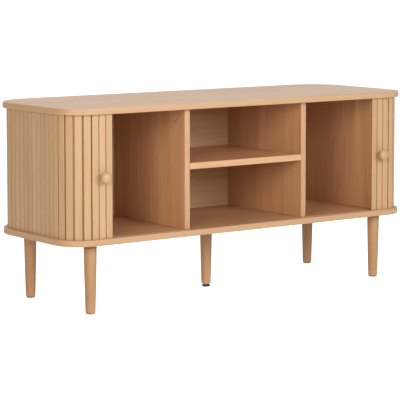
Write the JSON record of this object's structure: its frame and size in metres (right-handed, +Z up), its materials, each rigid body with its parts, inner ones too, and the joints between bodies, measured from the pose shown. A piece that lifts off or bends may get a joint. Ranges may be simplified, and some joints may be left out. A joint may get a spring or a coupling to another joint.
{
  "type": "media cabinet",
  "caption": "Low media cabinet in light oak on round tapered legs, with open bays, a centre shelf and sliding tambour doors that run round the rounded corners.",
  "frame": {"origin": "on the floor under the middle of the whole cabinet, knobs included", "axes": "+X along the width, -Y towards the front with the open bays and knobs, +Z up"},
  "size_m": [1.1, 0.406, 0.51],
  "materials": {
    "board": "oak-look board, light natural, satin",
    "slat": "light oak slats, vertical grain, satin lacquer",
    "leg": "turned light wood, satin lacquer",
    "knob": "turned light wood, satin lacquer",
    "dowel": "raw beech",
    "pad": "grey plastic glide",
    "glide": "black plastic levelling foot",
    "fitting": "zinc-plated steel fittings"
  },
  "bodies": {
    "carcass": {"top_panel": "board", "bottom_panel": "board", "back_panel": "board", "centre_shelf": "board", "left_divider": "board", "right_divider": "board", "left_inner_side": "board", "right_inner_side": "board", "front_left_leg": "leg", "front_right_leg": "leg", "back_left_leg": "leg", "back_right_leg": "leg", "centre_leg": "leg", "leg_pads": "pad", "leg_inserts": "fitting", "leg_bolts": "fitting", "cam_locks": "fitting", "cam_bolts": "fitting", "dowels": "dowel", "bottom_screws": "fitting", "back_screws": "fitting"},
    "centre_glide": {"centre_leg_glide": "glide"},
    "left_door": {"left_lead_slats": "slat", "left_knob": "knob", "left_knob_screw": "fitting"},
    "left_slat_04": {"left_slat_04": "slat"},
    "left_slat_05": {"left_slat_05": "slat"},
    "left_slat_06": {"left_slat_06": "slat"},
    "left_slat_07": {"left_slat_07": "slat"},
    "left_slats_08_to_14": {"left_slats_08_to_14": "slat"},
    "left_slat_15": {"left_slat_15": "slat"},
    "left_slat_16": {"left_slat_16": "slat"},
    "left_slat_17": {"left_slat_17": "slat"},
    "left_slat_18": {"left_slat_18": "slat"},
    "left_slat_19": {"left_slat_19": "slat"},
    "left_slat_20": {"left_slat_20": "slat"},
    "left_slat_21": {"left_slat_21": "slat"},
    "left_slat_22": {"left_slat_22": "slat"},
    "left_slat_23": {"left_slat_23": "slat"},
    "left_slat_24": {"left_slat_24": "slat"},
    "left_slats_25_to_29": {"left_slats_25_to_29": "slat"},
    "right_door": {"right_lead_slats": "slat", "right_knob": "knob", "right_knob_screw": "fitting"},
    "right_slat_04": {"right_slat_04": "slat"},
    "right_slat_05": {"right_slat_05": "slat"},
    "right_slat_06": {"right_slat_06": "slat"},
    "right_slat_07": {"right_slat_07": "slat"},
    "right_slats_08_to_14": {"right_slats_08_to_14": "slat"},
    "right_slat_15": {"right_slat_15": "slat"},
    "right_slat_16": {"right_slat_16": "slat"},
    "right_slat_17": {"right_slat_17": "slat"},
    "right_slat_18": {"right_slat_18": "slat"},
    "right_slat_19": {"right_slat_19": "slat"},
    "right_slat_20": {"right_slat_20": "slat"},
    "right_slat_21": {"right_slat_21": "slat"},
    "right_slat_22": {"right_slat_22": "slat"},
    "right_slat_23": {"right_slat_23": "slat"},
    "right_slat_24": {"right_slat_24": "slat"},
    "right_slats_25_to_29": {"right_slats_25_to_29": "slat"}
  },
  "joints": [
    {"name": "centre_glide_screw", "type": "slide", "parent": "carcass", "child": "centre_glide", "axis": [0, 0, 1], "range_m": [0, 0.006]},
    {"name": "left_door_slide", "type": "slide", "parent": "carcass", "child": "left_door", "axis": [1, 0, 0], "range_m": [0, 0.23]},
    {"name": "left_slat_04_turn", "type": "hinge", "parent": "carcass", "child": "left_slat_04", "pos_m": [-0.3665, 0.62411, 0.342], "axis": [0, 0, 1], "range_deg": [0, 16.52]},
    {"name": "left_slat_05_turn", "type": "hinge", "parent": "carcass", "child": "left_slat_05", "pos_m": [-0.3765, 0.1876, 0.342], "axis": [0, 0, 1], "range_deg": [0, 35.94]},
    {"name": "left_slat_06_turn", "type": "hinge", "parent": "carcass", "child": "left_slat_06", "pos_m": [-0.3865, 0.05492, 0.342], "axis": [0, 0, 1], "range_deg": [0, 55.36]},
    {"name": "left_slat_07_turn", "type": "hinge", "parent": "carcass", "child": "left_slat_07", "pos_m": [-0.3965, -0.0099, 0.342], "axis": [0, 0, 1], "range_deg": [0, 74.79]},
    {"name": "left_slats_08_to_14_turn", "type": "hinge", "parent": "carcass", "child": "left_slats_08_to_14", "pos_m": [-0.40434, -0.04134, 0.342], "axis": [0, 0, 1], "range_deg": [0, 90.01]},
    {"name": "left_slat_15_turn", "type": "hinge", "parent": "carcass", "child": "left_slat_15", "pos_m": [-0.39173, -0.03784, 0.342], "axis": [0, 0, 1], "range_deg": [0, 83.21]},
    {"name": "left_slat_16_turn", "type": "hinge", "parent": "carcass", "child": "left_slat_16", "pos_m": [-0.34095, -0.02784, 0.342], "axis": [0, 0, 1], "range_deg": [0, 63.79]},
    {"name": "left_slat_17_turn", "type": "hinge", "parent": "carcass", "child": "left_slat_17", "pos_m": [-0.24693, -0.01784, 0.342], "axis": [0, 0, 1], "range_deg": [0, 44.37]},
    {"name": "left_slat_18_turn", "type": "hinge", "parent": "carcass", "child": "left_slat_18", "pos_m": [-0.01094, -0.00784, 0.342], "axis": [0, 0, 1], "range_deg": [0, 24.95]},
    {"name": "left_slat_19_turn", "type": "hinge", "parent": "carcass", "child": "left_slat_19", "pos_m": [0.33219, -0.0042, 0.342], "axis": [0, 0, 1], "range_deg": [0, 15.18]},
    {"name": "left_slat_20_turn", "type": "hinge", "parent": "carcass", "child": "left_slat_20", "pos_m": [0.03099, 0.00216, 0.342], "axis": [0, 0, 1], "range_deg": [0, 23.15]},
    {"name": "left_slat_21_turn", "type": "hinge", "parent": "carcass", "child": "left_slat_21", "pos_m": [-0.18154, 0.01216, 0.342], "axis": [0, 0, 1], "range_deg": [0, 36.63]},
    {"name": "left_slat_22_turn", "type": "hinge", "parent": "carcass", "child": "left_slat_22", "pos_m": [-0.28045, 0.02216, 0.342], "axis": [0, 0, 1], "range_deg": [0, 50.11]},
    {"name": "left_slat_23_turn", "type": "hinge", "parent": "carcass", "child": "left_slat_23", "pos_m": [-0.33755, 0.03216, 0.342], "axis": [0, 0, 1], "range_deg": [0, 63.59]},
    {"name": "left_slat_24_turn", "type": "hinge", "parent": "carcass", "child": "left_slat_24", "pos_m": [-0.37437, 0.04216, 0.342], "axis": [0, 0, 1], "range_deg": [0, 77.07]},
    {"name": "left_slats_25_to_29_turn", "type": "hinge", "parent": "carcass", "child": "left_slats_25_to_29", "pos_m": [-0.39876, 0.05176, 0.342], "axis": [0, 0, 1], "range_deg": [0, 90.01]},
    {"name": "right_door_slide", "type": "slide", "parent": "carcass", "child": "right_door", "axis": [-1, 0, 0], "range_m": [0, 0.23]},
    {"name": "right_slat_04_turn", "type": "hinge", "parent": "carcass", "child": "right_slat_04", "pos_m": [0.3665, 0.62411, 0.342], "axis": [0, 0, -1], "range_deg": [0, 16.52]},
    {"name": "right_slat_05_turn", "type": "hinge", "parent": "carcass", "child": "right_slat_05", "pos_m": [0.3765, 0.1876, 0.342], "axis": [0, 0, -1], "range_deg": [0, 35.94]},
    {"name": "right_slat_06_turn", "type": "hinge", "parent": "carcass", "child": "right_slat_06", "pos_m": [0.3865, 0.05492, 0.342], "axis": [0, 0, -1], "range_deg": [0, 55.36]},
    {"name": "right_slat_07_turn", "type": "hinge", "parent": "carcass", "child": "right_slat_07", "pos_m": [0.3965, -0.0099, 0.342], "axis": [0, 0, -1], "range_deg": [0, 74.79]},
    {"name": "right_slats_08_to_14_turn", "type": "hinge", "parent": "carcass", "child": "right_slats_08_to_14", "pos_m": [0.40434, -0.04134, 0.342], "axis": [0, 0, -1], "range_deg": [0, 90.01]},
    {"name": "right_slat_15_turn", "type": "hinge", "parent": "carcass", "child": "right_slat_15", "pos_m": [0.39173, -0.03784, 0.342], "axis": [0, 0, -1], "range_deg": [0, 83.21]},
    {"name": "right_slat_16_turn", "type": "hinge", "parent": "carcass", "child": "right_slat_16", "pos_m": [0.34095, -0.02784, 0.342], "axis": [0, 0, -1], "range_deg": [0, 63.79]},
    {"name": "right_slat_17_turn", "type": "hinge", "parent": "carcass", "child": "right_slat_17", "pos_m": [0.24693, -0.01784, 0.342], "axis": [0, 0, -1], "range_deg": [0, 44.37]},
    {"name": "right_slat_18_turn", "type": "hinge", "parent": "carcass", "child": "right_slat_18", "pos_m": [0.01094, -0.00784, 0.342], "axis": [0, 0, -1], "range_deg": [0, 24.95]},
    {"name": "right_slat_19_turn", "type": "hinge", "parent": "carcass", "child": "right_slat_19", "pos_m": [-0.33219, -0.0042, 0.342], "axis": [0, 0, -1], "range_deg": [0, 15.18]},
    {"name": "right_slat_20_turn", "type": "hinge", "parent": "carcass", "child": "right_slat_20", "pos_m": [-0.03099, 0.00216, 0.342], "axis": [0, 0, -1], "range_deg": [0, 23.15]},
    {"name": "right_slat_21_turn", "type": "hinge", "parent": "carcass", "child": "right_slat_21", "pos_m": [0.18154, 0.01216, 0.342], "axis": [0, 0, -1], "range_deg": [0, 36.63]},
    {"name": "right_slat_22_turn", "type": "hinge", "parent": "carcass", "child": "right_slat_22", "pos_m": [0.28045, 0.02216, 0.342], "axis": [0, 0, -1], "range_deg": [0, 50.11]},
    {"name": "right_slat_23_turn", "type": "hinge", "parent": "carcass", "child": "right_slat_23", "pos_m": [0.33755, 0.03216, 0.342], "axis": [0, 0, -1], "range_deg": [0, 63.59]},
    {"name": "right_slat_24_turn", "type": "hinge", "parent": "carcass", "child": "right_slat_24", "pos_m": [0.37437, 0.04216, 0.342], "axis": [0, 0, -1], "range_deg": [0, 77.07]},
    {"name": "right_slats_25_to_29_turn", "type": "hinge", "parent": "carcass", "child": "right_slats_25_to_29", "pos_m": [0.39876, 0.05176, 0.342], "axis": [0, 0, -1], "range_deg": [0, 90.01]}
  ],
  "couplings": [
    {"joint": "left_slat_04_turn", "follows": "left_door_slide", "rad_per_m": 1.2528},
    {"joint": "left_slat_05_turn", "follows": "left_door_slide", "rad_per_m": 2.7266},
    {"joint": "left_slat_06_turn", "follows": "left_door_slide", "rad_per_m": 4.2004},
    {"joint": "left_slat_07_turn", "follows": "left_door_slide", "rad_per_m": 5.6743},
    {"joint": "left_slats_08_to_14_turn", "follows": "left_door_slide", "rad_per_m": 6.8295},
    {"joint": "left_slat_15_turn", "follows": "left_door_slide", "rad_per_m": 6.3137},
    {"joint": "left_slat_16_turn", "follows": "left_door_slide", "rad_per_m": 4.8399},
    {"joint": "left_slat_17_turn", "follows": "left_door_slide", "rad_per_m": 3.366},
    {"joint": "left_slat_18_turn", "follows": "left_door_slide", "rad_per_m": 1.8922},
    {"joint": "left_slat_19_turn", "follows": "left_door_slide", "rad_per_m": 1.151},
    {"joint": "left_slat_20_turn", "follows": "left_door_slide", "rad_per_m": 1.7557},
    {"joint": "left_slat_21_turn", "follows": "left_door_slide", "rad_per_m": 2.7787},
    {"joint": "left_slat_22_turn", "follows": "left_door_slide", "rad_per_m": 3.8017},
    {"joint": "left_slat_23_turn", "follows": "left_door_slide", "rad_per_m": 4.8247},
    {"joint": "left_slat_24_turn", "follows": "left_door_slide", "rad_per_m": 5.8477},
    {"joint": "left_slats_25_to_29_turn", "follows": "left_door_slide", "rad_per_m": 6.8295},
    {"joint": "right_slat_04_turn", "follows": "right_door_slide", "rad_per_m": 1.2528},
    {"joint": "right_slat_05_turn", "follows": "right_door_slide", "rad_per_m": 2.7266},
    {"joint": "right_slat_06_turn", "follows": "right_door_slide", "rad_per_m": 4.2004},
    {"joint": "right_slat_07_turn", "follows": "right_door_slide", "rad_per_m": 5.6743},
    {"joint": "right_slats_08_to_14_turn", "follows": "right_door_slide", "rad_per_m": 6.8295},
    {"joint": "right_slat_15_turn", "follows": "right_door_slide", "rad_per_m": 6.3137},
    {"joint": "right_slat_16_turn", "follows": "right_door_slide", "rad_per_m": 4.8399},
    {"joint": "right_slat_17_turn", "follows": "right_door_slide", "rad_per_m": 3.366},
    {"joint": "right_slat_18_turn", "follows": "right_door_slide", "rad_per_m": 1.8922},
    {"joint": "right_slat_19_turn", "follows": "right_door_slide", "rad_per_m": 1.151},
    {"joint": "right_slat_20_turn", "follows": "right_door_slide", "rad_per_m": 1.7557},
    {"joint": "right_slat_21_turn", "follows": "right_door_slide", "rad_per_m": 2.7787},
    {"joint": "right_slat_22_turn", "follows": "right_door_slide", "rad_per_m": 3.8017},
    {"joint": "right_slat_23_turn", "follows": "right_door_slide", "rad_per_m": 4.8247},
    {"joint": "right_slat_24_turn", "follows": "right_door_slide", "rad_per_m": 5.8477},
    {"joint": "right_slats_25_to_29_turn", "follows": "right_door_slide", "rad_per_m": 6.8295}
  ]
}
